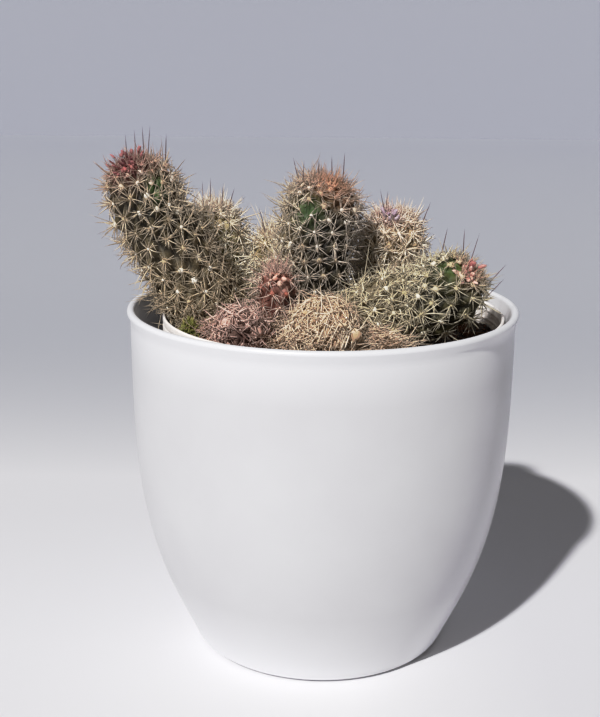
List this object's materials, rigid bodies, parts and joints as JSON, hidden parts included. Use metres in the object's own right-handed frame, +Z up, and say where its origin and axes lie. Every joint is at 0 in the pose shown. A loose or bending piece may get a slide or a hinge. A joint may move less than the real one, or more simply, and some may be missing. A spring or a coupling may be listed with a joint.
{
  "type": "potted clump-forming cactus",
  "caption": "Clump of short spiny cactus stems and small dried offsets in dark soil, in a thin nursery pot set inside a white tulip-shaped cover pot.",
  "frame": {"origin": "middle of the cover pot's flat underside, on the surface that the pot stands on", "axes": "+Z up along the cover pot's axis; the side that the picture shows faces -Y, and the long stem that overhangs the rim leans towards -X"},
  "size_m": [0.1316, 0.12, 0.1623],
  "materials": {
    "cover_pot_plastic": "satin",
    "grow_pot_plastic": "matte",
    "soil": "matte",
    "living_stem": "matte",
    "dead_offset": "satin",
    "dried_head": "matte"
  },
  "bodies": {
    "root": {"cover_pot": "cover_pot_plastic", "grow_pot": "grow_pot_plastic", "soil": "soil", "stem_left": "living_stem", "stem_left_rear": "living_stem", "stem_centre_low": "living_stem", "stem_middle": "living_stem", "stem_rear_right": "living_stem", "stem_right": "living_stem", "offset_rear": "living_stem", "offset_red": "dead_offset", "head_front_left": "dried_head", "head_front_middle": "dried_head"}
  },
  "joints": []
}
